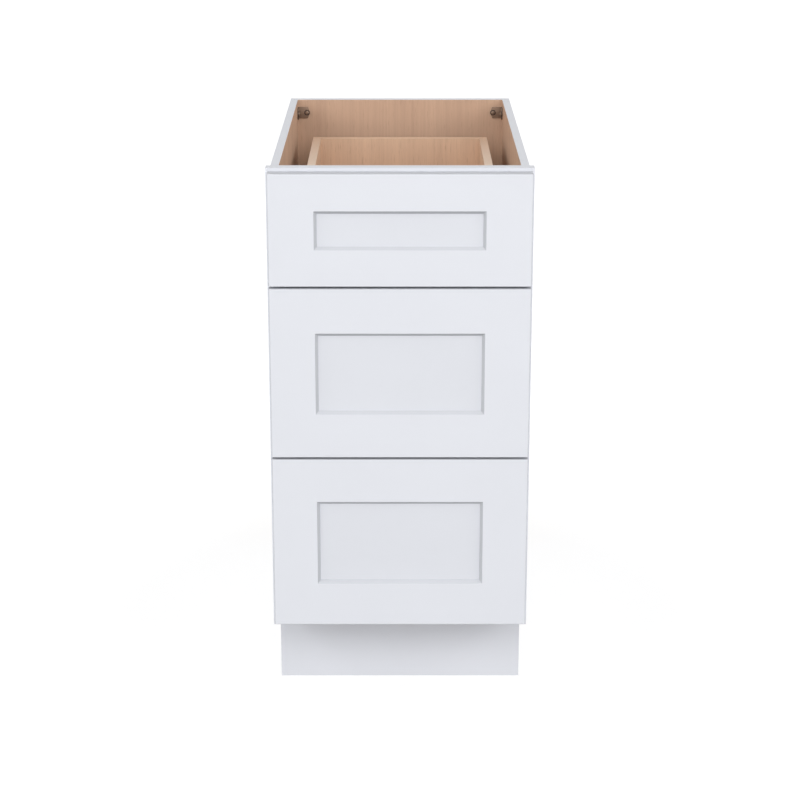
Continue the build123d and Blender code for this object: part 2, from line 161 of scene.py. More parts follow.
def makeFrontPaint(name, *tones):  # painted shade: a tone greyer on the moulded bevels and the top edges than on the face, less on the bevels that face up
    material, tree, shader = newMaterial(name)
    colour, roughness, peel = paintLayer(tree, objectCoords(tree), *tones)
    normal = objectNormal(tree)
    forward = maths(tree, "ABSOLUTE", normal[1])
    edgeOn, faceOn = paintLook["bevelFacing"]
    bevel = maths(tree, "LESS_THAN", forward, faceOn)
    bevel = maths(tree, "MULTIPLY", bevel, maths(tree, "GREATER_THAN", forward, edgeOn))
    upward = maths(tree, "MAXIMUM", normal[2], 0.0)
    bevel = maths(tree, "SUBTRACT", bevel, maths(tree, "MULTIPLY", upward, paintLook["upwardBevelShadeCut"]))
    topEdge = maths(tree, "GREATER_THAN", normal[2], faceOn)
    # painted shade on the bevels and the top edges, less where a bevel faces up
    paintedShade = maths(tree, "MAXIMUM", bevel, maths(tree, "MULTIPLY", topEdge, paintLook["topEdgeShadeShare"]))
    colour = mixTones(tree, paintedShade, colour, linear(paintLook["profile"]))
    finishWith(tree, shader, colour, roughness, peel, paintLook["bumpDepth"])
    return material


# wood veneer: wide soft bands, fine streaks and short dark pores, all drawn out along the grain
veneerLook = {
    "light": (209, 176, 150),
    "dark": (191, 158, 134),
    "pore": (163, 129, 106),
    "bands": {"scale": (26.0, 0.9), "detail": 2.0},  # each scale is across the grain, then along it
    "streaks": {"scale": (260.0, 4.0), "detail": 4.0, "roughness": 0.6},
    "pores": {"scale": (1100.0, 45.0), "detail": 1.0},
    "figureRange": (0.65, 1.35),
    "poreRange": (0.62, 0.74),
    "poreShare": 0.55,
    "roughness": (0.54, 0.68),
    "bumpDepth": 0.00006,
}


def grain(tree, coords, axis, scale, **settings):
    across, along = scale
    return noise(tree, coords, [along if name == axis else across for name in "xyz"], **settings)


def veneerLayer(tree, coords, axis, look):
    bands = grain(tree, coords, axis, **look["bands"])
    streaks = grain(tree, coords, axis, **look["streaks"])
    pores = grain(tree, coords, axis, **look["pores"])
    figure = rescale(tree, maths(tree, "ADD", bands, streaks), 0.0, 1.0, *look["figureRange"])
    colour = mixTones(tree, figure, linear(look["dark"]), linear(look["light"]))
    poreMask = rescale(tree, pores, 0.0, look["poreShare"], *look["poreRange"])
    colour = mixTones(tree, poreMask, colour, linear(look["pore"]))
    roughness = rescale(tree, streaks, *look["roughness"])
    return colour, roughness, maths(tree, "SUBTRACT", streaks, poreMask)


# bare plywood: the board's edge shows its plies as light and dark lines
plyLook = {
    "light": (205, 172, 138),
    "dark": (160, 122, 90),
    "thickness": 0.0017,
    "turnover": (0.3, 0.7),  # where one ply's tone turns to the next, as shares of the thickness
    "waver": 0.0006,
    "waverScale": 60.0,
    "fibreScale": 900.0,
    "fibreShare": 0.4,
    "roughness": 0.72,
}


def plyLayer(tree, coords, axis):
    across = partsOf(tree, coords)["xyz".index(axis)]
    waver = maths(tree, "MULTIPLY", noise(tree, coords, plyLook["waverScale"]), plyLook["waver"])
    ply = maths(tree, "PINGPONG", maths(tree, "ADD", across, waver), plyLook["thickness"])
    start, end = [share * plyLook["thickness"] for share in plyLook["turnover"]]
    lightShare = rescale(tree, ply, 0.0, 1.0, start, end)
    colour = mixTones(tree, lightShare, linear(plyLook["dark"]), linear(plyLook["light"]))
    fibre = noise(tree, coords, plyLook["fibreScale"])
    fibreMask = maths(tree, "MULTIPLY", fibre, plyLook["fibreShare"])
    colour = mixTones(tree, fibreMask, colour, linear(plyLook["dark"]))
    return colour, plyLook["roughness"], fibre


def mixLayers(tree, mask, first, second):
    colour = mixTones(tree, mask, first[0], second[0])
    return colour, mixValues(tree, mask, first[1], second[1]), mixValues(tree, mask, first[2], second[2])


# side panels: white outside and on the edges, veneer inside, bare plies on the back edge
def makeSidePanel():
    material, tree, shader = newMaterial("sidePanel")
    coords = objectCoords(tree)
    normal = objectNormal(tree)
    inwardSign = maths(tree, "MULTIPLY", maths(tree, "SIGN", partsOf(tree, coords)[0]), -1.0)
    inward = facing(tree, maths(tree, "MULTIPLY", normal[0], inwardSign))
    layers = mixLayers(tree, inward, paintLayer(tree, coords), veneerLayer(tree, coords, "z", veneerLook))
    layers = mixLayers(tree, facing(tree, normal[1]), layers, plyLayer(tree, coords, "x"))
    finishWith(tree, shader, *layers, veneerLook["bumpDepth"])
    return material


# back and bottom panels: veneered sheets, the back with a white top edge
def makeSheet(name, axis, whiteTop):
    material, tree, shader = newMaterial(name)
    coords = objectCoords(tree)
    layers = veneerLayer(tree, coords, axis, veneerLook)
    if whiteTop:
        upward = facing(tree, objectNormal(tree)[2])
        layers = mixLayers(tree, upward, layers, paintLayer(tree, coords))
    finishWith(tree, shader, *layers, veneerLook["bumpDepth"])
    return material


# drawer wood: the same veneer; the top edges take a lighter tone and pale further towards the front, both
# painted light; dark end grain in the dovetails
drawerLook = dict(veneerLook, light=(217, 186, 159), dark=(200, 169, 144))
# painted light: the lighter tone of the top edges
litEdgeLook = dict(veneerLook, light=(233, 198, 169), dark=(219, 183, 154), pore=(200, 163, 134))
paintedFrontLight = {"tone": (255, 232, 210), "reach": (0.0, 0.24)}
endGrainLook = {
    "light": (186, 146, 116),
    "dark": (146, 106, 80),
    "speckle": {"scale": 420.0, "detail": 3.0, "roughness": 0.7},
    "roughness": 0.6,
}


def endGrainLayer(tree, coords):
    speckle = noise(tree, coords, **endGrainLook["speckle"])
    colour = mixTones(tree, speckle, linear(endGrainLook["dark"]), linear(endGrainLook["light"]))
    return colour, endGrainLook["roughness"], speckle


def makeDrawerWood(name, axis, edgeAxis=None, endAxis=None):
    material, tree, shader = newMaterial(name)
    coords = objectCoords(tree)
    normal = objectNormal(tree)
    layers = veneerLayer(tree, coords, axis, drawerLook)
    if edgeAxis:
        colour, *rest = veneerLayer(tree, coords, edgeAxis, litEdgeLook)
        # painted light: the top edges grow paler towards the front
        frontLightShare = rescale(tree, partsOf(tree, coords)[1], 1.0, 0.0, *paintedFrontLight["reach"])
        colour = mixTones(tree, frontLightShare, colour, linear(paintedFrontLight["tone"]))
        layers = mixLayers(tree, facing(tree, normal[2]), layers, (colour, *rest))
    if endAxis:
        endOn = facing(tree, maths(tree, "ABSOLUTE", normal["xyz".index(endAxis)]))
        layers = mixLayers(tree, endOn, layers, endGrainLayer(tree, coords))
    finishWith(tree, shader, *layers, veneerLook["bumpDepth"])
    return material


# steel: zinc with crystal spangle on the slides, dark bronze on the corner brackets
zincLook = {
    "light": (205, 208, 211),
    "dark": (189, 193, 197),
    "spangleScale": 330.0,
    "rolledScale": (40.0, 900.0, 40.0),
    "metallic": 1.0,
    "roughness": (0.3, 0.4),
    "bumpDepth": 0.00001,
}
bronzeLook = {
    "light": (160, 134, 114),
    "dark": (126, 105, 90),
    # painted shade: a dark tone on the plate's cut sides; the raised ring takes the same tone
    "edgeShadeAndRingLight": (66, 55, 47),
    "edgeShadeAndRingDark": (46, 39, 34),
    "cloud": {"scale": 160.0, "detail": 5.0, "roughness": 0.6},
    "metallic": 0.35,
    "roughness": (0.42, 0.56),
    "bumpDepth": 0.00002,
}


def makeZinc():
    material, tree, shader = newMaterial("zincSteel")
    coords = objectCoords(tree)
    cells = addNode(tree, "ShaderNodeTexVoronoi", {"Vector": coords, "Scale": zincLook["spangleScale"]})
    tint = addNode(tree, "ShaderNodeSeparateColor", {0: cells.outputs["Color"]}).outputs[0]
    colour = mixTones(tree, tint, linear(zincLook["dark"]), linear(zincLook["light"]))
    roughness = rescale(tree, tint, *zincLook["roughness"])
    rolled = noise(tree, coords, zincLook["rolledScale"])
    shader.inputs["Metallic"].default_value = zincLook["metallic"]
    finishWith(tree, shader, colour, roughness, rolled, zincLook["bumpDepth"])
    return material


def makeBronze(name, dark, light):
    material, tree, shader = newMaterial(name)
    cloud = noise(tree, objectCoords(tree), **bronzeLook["cloud"])
    colour = mixTones(tree, cloud, linear(bronzeLook[dark]), linear(bronzeLook[light]))
    roughness = rescale(tree, cloud, *bronzeLook["roughness"])
    shader.inputs["Metallic"].default_value = bronzeLook["metallic"]
    finishWith(tree, shader, colour, roughness, cloud, bronzeLook["bumpDepth"])
    return material


# moulded plastic of the latches and rollers, and the soft bumpers
plasticLook = {
    "latchPlastic": {"tone": (122, 126, 131), "grainScale": 900.0, "roughness": (0.45, 0.6)},
    "rollerPlastic": {"tone": (226, 224, 216), "grainScale": 500.0, "roughness": (0.3, 0.42)},
    "bumperRubber": {"tone": (222, 226, 228), "grainScale": 300.0, "roughness": (0.2, 0.3)},
    "grainDetail": 2.0,
    "grainDepth": 0.9,  # how much of the tone is left in the grain's hollows
    "bumpDepth": 0.00002,
}


def makePlastic(name):
    material, tree, shader = newMaterial(name)
    look = plasticLook[name]
    mould = noise(tree, objectCoords(tree), look["grainScale"], plasticLook["grainDetail"])
    deeper = [part * plasticLook["grainDepth"] for part in look["tone"]]
    colour = mixTones(tree, mould, linear(deeper), linear(look["tone"]))
    roughness = rescale(tree, mould, *look["roughness"])
    finishWith(tree, shader, colour, roughness, mould, plasticLook["bumpDepth"])
    return material


paint = makePaint()
frontPaint = makeFrontPaint("frontPaint")
# the panel's paint carries painted shade, a tone darker for its recess
panelShadedPaint = makeFrontPaint("panelShadedPaint", "panelShadedDark", "panelShadedLight")
sidePanel = makeSidePanel()
backSheet = makeSheet("backSheet", "z", whiteTop=True)
bottomSheet = makeSheet("bottomSheet", "y", whiteTop=False)
drawerEnd = makeDrawerWood("drawerEnd", "z", edgeAxis="x", endAxis="x")
drawerSide = makeDrawerWood("drawerSide", "y", edgeAxis="y", endAxis="y")
drawerFloor = makeDrawerWood("drawerFloor", "y")
zinc = makeZinc()
bronze = makeBronze("darkBronze", "dark", "light")
bronzeEdgeShadeAndRing = makeBronze("bronzeEdgeShadeAndRing", "edgeShadeAndRingDark", "edgeShadeAndRingLight")
latchPlastic = makePlastic("latchPlastic")
rollerPlastic = makePlastic("rollerPlastic")
bumperRubber = makePlastic("bumperRubber")
print("materials:", len(bpy.data.materials))


# each CAD node takes its finish by the end of its name
finishes = {
    "side_panel": sidePanel,
    "back_panel": backSheet,
    "bottom_panel": bottomSheet,
    "toe_kick_board": paint,
    "frame_stile": paint,
    "frame_rail": paint,
    "_front_left_stile": frontPaint,
    "_front_right_stile": frontPaint,
    "_front_top_rail": frontPaint,
    "_front_bottom_rail": frontPaint,
    "_front_panel": panelShadedPaint,
    "_box_left_side": drawerSide,
    "_box_right_side": drawerSide,
    "_box_front": drawerEnd,
    "_box_back": drawerEnd,
    "_box_bottom": drawerFloor,
    "slide_rails": zinc,
    "slide_rear_brackets": zinc,
    "slide_runners": zinc,
    "slide_carriages": zinc,
    "screws": zinc,
    "corner_brackets": bronze,
    "latch_clips": latchPlastic,
    "front_bumpers": bumperRubber,
}
for name, node in nodes.items():
    finish = next(material for ending, material in finishes.items() if name.endswith(ending))
    node.data.materials.clear()
    node.data.materials.append(finish)
print("finishes set on", len(nodes), "nodes")


# what the new pieces share: merged meshes, the solids inside a CAD node, and the last steps of a piece
meshLook = {"mergeDistance": 1e-6, "sortDigits": 5, "smoothAngle": 34}
sideways = Vector((1.0, 0.0, 0.0))
forwards = Vector((0.0, -1.0, 0.0))
upwards = Vector((0.0, 0.0, 1.0))


def mergedCopy(mesh):
    work = bmesh.new()
    work.from_mesh(mesh)
    bmesh.ops.remove_doubles(work, verts=work.verts, dist=meshLook["mergeDistance"])
    return work


def solidsOf(name):  # the points of each separate solid in a CAD node
    work = mergedCopy(nodes[name].data)
    waiting = dict.fromkeys(work.verts)  # a dictionary keeps its order, so each run walks the same way
    solids = []
    while waiting:
        edgePoints = [waiting.popitem()[0]]
        solid = []
        while edgePoints:
            point = edgePoints.pop()
            solid.append(point.co.copy())
            for edge in point.link_edges:
                other = edge.other_vert(point)
                if other in waiting:
                    del waiting[other]
                    edgePoints.append(other)
        solids.append(solid)
    work.free()
    return sorted(solids, key=middleOf)


def middleOf(solid):
    return [round(sum(part) / len(solid), meshLook["sortDigits"]) for part in zip(*solid)]


def cornersOf(solid):
    return Vector(map(min, zip(*solid))), Vector(map(max, zip(*solid)))


def handOf(low):  # 1 on the right half of the cabinet, -1 on the left
    return math.copysign(1.0, low.x)


def newObject(name, data):
    made = bpy.data.objects.new(name, data)
    scene.collection.objects.link(made)
    return made


def smoothByAngle(mesh, degrees=meshLook["smoothAngle"]):
    work = mergedCopy(mesh)
    bmesh.ops.recalc_face_normals(work, faces=work.faces)
    for face in work.faces:
        face.smooth = True
    for edge in work.edges:
        edge.smooth = edge.is_manifold and edge.calc_face_angle() < math.radians(degrees)
    work.to_mesh(mesh)
    work.free()


def settle(piece, body, slot, *replaced):
    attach(piece, body)
    if replaced:
        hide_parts(*replaced)


# what the geometry trees share: named inputs, round bodies, and a shape stood on marked points
def newTree(name, sizes):
    tree = bpy.data.node_groups.new(name, "GeometryNodeTree")
    tree.interface.new_socket("Points", in_out="INPUT", socket_type="NodeSocketGeometry")
    for size in sizes:
        tree.interface.new_socket(size, in_out="INPUT", socket_type="NodeSocketFloat")
    tree.interface.new_socket("Finish", in_out="INPUT", socket_type="NodeSocketMaterial")
    tree.interface.new_socket("Geometry", in_out="OUTPUT", socket_type="NodeSocketGeometry")
    return tree, addNode(tree, "NodeGroupInput").outputs


def combine(tree, x=0.0, y=0.0, z=0.0):
    return addNode(tree, "ShaderNodeCombineXYZ", {0: x, 1: y, 2: z}).outputs[0]


def lifted(tree, geometry, rise):
    inputs = {"Geometry": geometry, "Translation": combine(tree, z=rise)}
    return addNode(tree, "GeometryNodeTransform", inputs).outputs[0]


def joined(tree, *parts):
    join = addNode(tree, "GeometryNodeJoinGeometry")
    for part in reversed(parts):
        tree.links.new(part, join.inputs[0])
    return join.outputs[0]


def pointPlace(tree):
    return partsOf(tree, addNode(tree, "GeometryNodeInputPosition").outputs[0])


def turnedBody(tree, radius, depth, sides, sideRings=1, capRings=1):  # a round body that stands on its end
    inputs = {
        "Vertices": sides,
        "Side Segments": sideRings,
        "Fill Segments": capRings,
        "Radius": radius,
        "Depth": depth,
    }
    made = addNode(tree, "GeometryNodeMeshCylinder", inputs, fill_type="TRIANGLE_FAN").outputs[0]
    return lifted(tree, made, maths(tree, "MULTIPLY", depth, 0.5))


def domed(tree, geometry, radius, height, rimShare, power, topShare=0.9):  # lowers the top towards its rim
    place = pointPlace(tree)
    reach = lengthOf(tree, combine(tree, place[0], place[1]))
    share = maths(tree, "POWER", maths(tree, "DIVIDE", reach, radius), power)
    drop = maths(tree, "MULTIPLY", maths(tree, "MULTIPLY", share, 1.0 - rimShare), height)
    top = maths(tree, "GREATER_THAN", place[2], maths(tree, "MULTIPLY", height, topShare))
    shift = combine(tree, z=maths(tree, "MULTIPLY", drop, -1.0))
    inputs = {"Geometry": geometry, "Selection": top, "Offset": shift}
    return addNode(tree, "GeometryNodeSetPosition", inputs).outputs[0]


def crownedBar(tree, radius, length, crown, sides, rings, capRings=2, power=4.0):  # narrows towards its ends
    bar = turnedBody(tree, radius, length, sides, rings, capRings)
    bar = lifted(tree, bar, maths(tree, "MULTIPLY", length, -0.5))
    place = pointPlace(tree)
    half = maths(tree, "MULTIPLY", length, 0.5)
    share = maths(tree, "POWER", maths(tree, "ABSOLUTE", maths(tree, "DIVIDE", place[2], half)), power)
    shrink = maths(tree, "SUBTRACT", 1.0, maths(tree, "MULTIPLY", share, crown))
    x = maths(tree, "MULTIPLY", place[0], shrink)
    y = maths(tree, "MULTIPLY", place[1], shrink)
    inputs = {"Geometry": bar, "Position": combine(tree, x, y, place[2])}
    return addNode(tree, "GeometryNodeSetPosition", inputs).outputs[0]


def twisted(tree, instances, seed):  # turns each copy about its own axis by a random angle
    angleInputs = {2: 0.0, 3: math.pi, 8: seed}  # the sockets for the least and most angle and the seed
    angle = addNode(tree, "FunctionNodeRandomValue", angleInputs).outputs[1]
    turn = addNode(tree, "FunctionNodeEulerToRotation", {0: combine(tree, z=angle)}).outputs[0]
    inputs = {"Instances": instances, "Rotation": turn}
    return addNode(tree, "GeometryNodeRotateInstances", inputs).outputs[0]


def placeOnPoints(tree, entry, shape, twistSeed=None):  # stands the shape on each point, along its facing
    marked = addNode(tree, "GeometryNodeInputNamedAttribute", {"Name": "facing"}, data_type="FLOAT_VECTOR")
    aligned = addNode(tree, "FunctionNodeAlignRotationToVector", {"Vector": marked.outputs[0]}, axis="Z")
    inputs = {"Points": entry["Points"], "Instance": shape, "Rotation": aligned.outputs[0]}
    placed = addNode(tree, "GeometryNodeInstanceOnPoints", inputs).outputs[0]
    if twistSeed is not None:
        placed = twisted(tree, placed, twistSeed)
    real = addNode(tree, "GeometryNodeRealizeInstances", {0: placed}).outputs[0]
    finished = addNode(tree, "GeometryNodeSetMaterial", {"Geometry": real, "Material": entry["Finish"]})
    tree.links.new(finished.outputs[0], addNode(tree, "NodeGroupOutput").inputs[0])


def growOnPoints(name, tree, spots, values):  # each spot is a place and the way the shape faces there
    mesh = bpy.data.meshes.new(name)
    mesh.from_pydata([place for place, facingWay in spots], [], [])
    facings = mesh.attributes.new("facing", "FLOAT_VECTOR", "POINT")
    for item, (place, facingWay) in zip(facings.data, spots):
        item.vector = facingWay
    piece = newObject(name, mesh)
    modifier = piece.modifiers.new(name, "NODES")
    modifier.node_group = tree
    for socket in tree.interface.items_tree:
        if socket.in_out == "INPUT" and socket.name in values:
            modifier[socket.identifier] = values[socket.name]
    evaluated = piece.evaluated_get(bpy.context.evaluated_depsgraph_get())
    piece.data = bpy.data.meshes.new_from_object(evaluated)
    piece.modifiers.clear()
    smoothByAngle(piece.data)
    return piece


# screws: a low domed head with a cross recess, and a threaded shank in the wood
screwLook = {
    "sizes": {
        "Head Radius": 0.0042,
        "Head Height": 0.0022,
        "Recess Length": 0.0046,
        "Recess Width": 0.0009,
        "Recess Depth": 0.0013,
        "Shank Radius": 0.0016,
        "Thread Depth": 0.00038,
        "Thread Pitch": 0.0017,
    },
    "bracketSizes": {"Head Radius": 0.0032, "Recess Length": 0.0036, "Recess Width": 0.0008},
    "rimShare": 0.4,
    "domePower": 3.0,
    "headSides": 28,
    "headRings": 5,
    "shankSides": 16,
    "threadShare": 0.9,
    "threadTaper": 0.97,
    "threadSteps": 14,
    "threadSides": 4,
    "widestShare": 0.97,
    "twistSeed": 7,
}


def screwHead(tree, entry):
    radius, height = entry["Head Radius"], entry["Head Height"]
    head = turnedBody(tree, radius, height, screwLook["headSides"], capRings=screwLook["headRings"])
    head = domed(tree, head, radius, height, screwLook["rimShare"], screwLook["domePower"])
    depth = maths(tree, "MULTIPLY", entry["Recess Depth"], 2.0)
    for length, width in (("Recess Length", "Recess Width"), ("Recess Width", "Recess Length")):
        size = combine(tree, entry[length], entry[width], depth)
        bar = lifted(tree, addNode(tree, "GeometryNodeMeshCube", {"Size": size}).outputs[0], height)
        cut = addNode(tree, "GeometryNodeMeshBoolean", {"Mesh 1": head}, operation="DIFFERENCE")
        tree.links.new(bar, cut.inputs["Mesh 2"])
        head = cut.outputs[0]
    return head


def screwThread(tree, entry):
    length = maths(tree, "MULTIPLY", entry["Shank Length"], screwLook["threadShare"])
    spiralInputs = {
        "Resolution": screwLook["threadSteps"],
        "Rotations": maths(tree, "DIVIDE", length, entry["Thread Pitch"]),
        "Start Radius": maths(tree, "MULTIPLY", entry["Shank Radius"], screwLook["threadTaper"]),
        "End Radius": entry["Shank Radius"],
        "Height": length,
    }
    spiral = addNode(tree, "GeometryNodeCurveSpiral", spiralInputs).outputs[0]
    ridgeInputs = {"Resolution": screwLook["threadSides"], "Radius": entry["Thread Depth"]}
    ridge = addNode(tree, "GeometryNodeCurvePrimitiveCircle", ridgeInputs).outputs[0]
    inputs = {"Curve": spiral, "Profile Curve": ridge, "Fill Caps": True}
    return addNode(tree, "GeometryNodeCurveToMesh", inputs).outputs[0]


def makeScrewTree():
    tree, entry = newTree("crossHeadScrews", [*screwLook["sizes"], "Shank Length"])
    head = screwHead(tree, entry)
    shank = turnedBody(tree, entry["Shank Radius"], entry["Shank Length"], screwLook["shankSides"])
    below = maths(tree, "MULTIPLY", entry["Shank Length"], -1.0)
    shaft = lifted(tree, joined(tree, shank, screwThread(tree, entry)), below)
    placeOnPoints(tree, entry, joined(tree, head, shaft), screwLook["twistSeed"])
    return tree


def screwSeats(name):  # where each head is widest and the way it faces, then the length of the shanks
    seats = []
    for solid in solidsOf(name):
        low, high = cornersOf(solid)
        centre, size = (low + high) / 2, high - low
        axis = max(range(len(size)), key=lambda index: size[index])
        along = Vector([float(index == axis) for index in range(len(size))])
        reach = [((point - centre) - along * (point - centre).dot(along)).length for point in solid]
        widest = screwLook["widestShare"] * max(reach)
        wide = [point for point, span in zip(solid, reach) if span > widest]
        level = sum(point[axis] for point in wide) / len(wide) - centre[axis]
        seats.append((centre + along * level, along * math.copysign(1.0, level)))
    return seats, size[axis] - screwLook["sizes"]["Head Height"]


screwTree = makeScrewTree()
screwNodes = {
    "corner_bracket_screws": ("cornerBracketScrews", "cabinet", bronze, "dark_steel"),
    "slide_screws": ("slideScrews", "cabinet", zinc, "zinc_steel"),
}
for drawer in drawers:
    screwNodes[f"{drawer}_front_screws"] = (f"{drawer}FrontScrews", f"{drawer}_drawer", zinc, "zinc_steel")
for node, (name, body, finish, slot) in screwNodes.items():
    seats, shankLength = screwSeats(node)
    values = {**screwLook["sizes"], "Shank Length": shankLength, "Finish": finish}
    if finish is bronze:  # a smaller head, inside the bracket's raised ring
        values.update(screwLook["bracketSizes"])
    settle(growOnPoints(name, screwTree, seats, values), body, slot, node)
    print(name, len(seats), "screws")


# bumpers: soft domes stuck on the face frame behind the drawer fronts
bumperLook = {"rimShare": 0.3, "domePower": 2.4, "counts": {"sides": 28, "sideRings": 2, "capRings": 7}}


def makeBumperTree():
    tree, entry = newTree("domedBumpers", ["Radius", "Height"])
    radius, height = entry["Radius"], entry["Height"]
    dome = turnedBody(tree, radius, height, **bumperLook["counts"])
    dome = domed(tree, dome, radius, height, bumperLook["rimShare"], bumperLook["domePower"])
    placeOnPoints(tree, entry, dome)
    return tree


bumperSpots = []
for solid in solidsOf("front_bumpers"):
    low, high = cornersOf(solid)
    bumperSpots.append((Vector(((low.x + high.x) / 2, high.y, (low.z + high.z) / 2)), forwards))
values = {"Radius": (high.x - low.x) / 2, "Height": high.y - low.y, "Finish": bumperRubber}
bumpers = growOnPoints("bumperDomes", makeBumperTree(), bumperSpots, values)
settle(bumpers, "cabinet", "bumper", "front_bumpers")
print("bumperDomes", len(bumperSpots), "bumpers")


# rollers: two rows in each slide carriage, the upper under the drawer's runner, the lower on the fixed rail
rollerLook = {
    "webDrop": 0.0100,
    "webThickness": 0.0015,
    "wall": 0.0015,
    "railGap": 0.0005,
    "play": 0.0001,
    "sideGap": 0.0010,
    "pinRadius": 0.0012,
    "pinSides": 12,
    "crown": 0.12,
    "counts": {"sides": 20, "rings": 6},
    "rowCount": 7,
    "endGap": 0.014,
}


def makeRollerTree():
    tree, entry = newTree("crownedRollers", ["Radius", "Length", "Pin Radius", "Pin Length"])
    roller = crownedBar(tree, entry["Radius"], entry["Length"], rollerLook["crown"], **rollerLook["counts"])
    pin = turnedBody(tree, entry["Pin Radius"], entry["Pin Length"], rollerLook["pinSides"])
    pin = lifted(tree, pin, maths(tree, "MULTIPLY", entry["Pin Length"], -0.5))
    placeOnPoints(tree, entry, joined(tree, roller, pin))
    return tree


def rollerChannel(row, low, high):  # the heights between which a row rolls, above or below the web
    webBottom = high.z - rollerLook["webDrop"]
    if row == "Upper":
        return webBottom + rollerLook["webThickness"], high.z + rollerLook["railGap"]
    return low.z - rollerLook["railGap"], webBottom


def rollerSpots(row, low, high):
    bottom, top = rollerChannel(row, low, high)
    first, last = low.y + rollerLook["endGap"], high.y - rollerLook["endGap"]
    step = (last - first) / (rollerLook["rowCount"] - 1)
    x, z = (low.x + high.x) / 2, (bottom + top) / 2
    return [(Vector((x, first + step * index, z)), sideways) for index in range(rollerLook["rowCount"])]


rollerTree = makeRollerTree()
for drawer in drawers:
    carriages = [cornersOf(solid) for solid in solidsOf(f"{drawer}_slide_carriages")]
    for row in ("Upper", "Lower"):
        spots = [spot for low, high in carriages for spot in rollerSpots(row, low, high)]
        low, high = carriages[0]
        bottom, top = rollerChannel(row, low, high)
        inside = high.x - low.x - 2 * rollerLook["wall"]
        values = {
            "Radius": (top - bottom) / 2 - rollerLook["play"],
            "Length": inside - 2 * rollerLook["sideGap"],
            "Pin Radius": rollerLook["pinRadius"],
            "Pin Length": inside,
            "Finish": rollerPlastic,
        }
        rollers = growOnPoints(f"{drawer}{row}Rollers", rollerTree, spots, values)
        settle(rollers, f"{drawer}_carriages", "latch_plastic")
    print(drawer, "rollers", 2 * len(spots))


# latch clips under the drawer: moulded bodies with rounded edges, grip ribs on the arm and a notched dial
latchLook = {
    "inset": 0.0008,
    "edge": 0.0009,
    "edgeSteps": 3,
    "flatAngle": 1.0,
    "armWidth": 0.013,
    "ribCount": 7,
    "ribStart": 0.005,
    "ribPitch": 0.0032,
    "ribRadius": 0.00081,
    "ribLength": 0.0104,
    "ribCrown": 0.6,
    "ribCounts": {"sides": 14, "rings": 6},
    "dialOut": 0.0195,
    "dialIn": 0.0095,
    "dialRadius": 0.0066,
    "dialCounts": {"sides": 36, "capRings": 2},
    "notchCount": 22,
    "notchRadius": 0.0006,
    "notchSides": 8,
}


def makeRibTree():
    tree, entry = newTree("gripRibs", ["Radius", "Length"])
    rib = crownedBar(tree, entry["Radius"], entry["Length"], latchLook["ribCrown"], **latchLook["ribCounts"])
    placeOnPoints(tree, entry, rib)
    return tree


def makeDialTree():
    tree, entry = newTree("notchedDials", ["Radius", "Height", "Notch Radius"])
    disc = turnedBody(tree, entry["Radius"], entry["Height"], **latchLook["dialCounts"])
    circleInputs = {"Vertices": latchLook["notchCount"], "Radius": entry["Radius"]}
    circle = addNode(tree, "GeometryNodeMeshCircle", circleInputs).outputs[0]
    notch = turnedBody(tree, entry["Notch Radius"], entry["Height"], latchLook["notchSides"])
    ridges = addNode(tree, "GeometryNodeInstanceOnPoints", {"Points": circle, "Instance": notch}).outputs[0]
    placeOnPoints(tree, entry, joined(tree, disc, ridges))
    return tree


def makeClipBodies(name, node):
    work = mergedCopy(nodes[node].data)
    flat = math.radians(latchLook["flatAngle"])
    bmesh.ops.dissolve_limit(work, angle_limit=flat, verts=work.verts, edges=work.edges)
    underside = min(point.co.z for point in work.verts)
    for point in work.verts:  # the underside rises to leave room for the ribs and the dial
        if point.co.z < underside + latchLook["inset"]:
            point.co.z += latchLook["inset"]
    edge = {"offset": latchLook["edge"], "segments": latchLook["edgeSteps"], "profile": 0.5}
    bmesh.ops.bevel(work, geom=work.edges, affect="EDGES", **edge)
    mesh = bpy.data.meshes.new(name)
    work.to_mesh(mesh)
    work.free()
    mesh.materials.append(latchPlastic)
    smoothByAngle(mesh)
    return newObject(name, mesh)


def clipSpots(node):  # where the ribs and the dials sit under a drawer's two clips
    ribSpots, dialSpots = [], []
    for solid in solidsOf(node):
        low, high = cornersOf(solid)
        hand = handOf(low)
        outer = high.x if hand > 0 else low.x
        level = low.z + latchLook["inset"]
        armMiddle = outer - hand * latchLook["armWidth"] / 2
        for index in range(latchLook["ribCount"]):
            y = high.y - latchLook["ribStart"] - latchLook["ribPitch"] * index
            ribSpots.append((Vector((armMiddle, y, level)), sideways))
        dial = Vector((outer - hand * latchLook["dialOut"], low.y + latchLook["dialIn"], level))
        dialSpots.append((dial, -upwards))
    return ribSpots, dialSpots


ribTree = makeRibTree()
dialTree = makeDialTree()
ribValues = {"Radius": latchLook["ribRadius"], "Length": latchLook["ribLength"], "Finish": latchPlastic}
dialValues = {
    "Radius": latchLook["dialRadius"],
    "Height": latchLook["inset"],
    "Notch Radius": latchLook["notchRadius"],
    "Finish": rollerPlastic,
}
for drawer in drawers:
    node, body = f"{drawer}_latch_clips", f"{drawer}_drawer"
    ribSpots, dialSpots = clipSpots(node)
    settle(makeClipBodies(f"{drawer}ClipBodies", node), body, "latch_plastic", node)
    settle(growOnPoints(f"{drawer}ClipRibs", ribTree, ribSpots, ribValues), body, "latch_plastic")
    settle(growOnPoints(f"{drawer}ClipDials", dialTree, dialSpots, dialValues), body, "latch_plastic")
print("latch clips made")


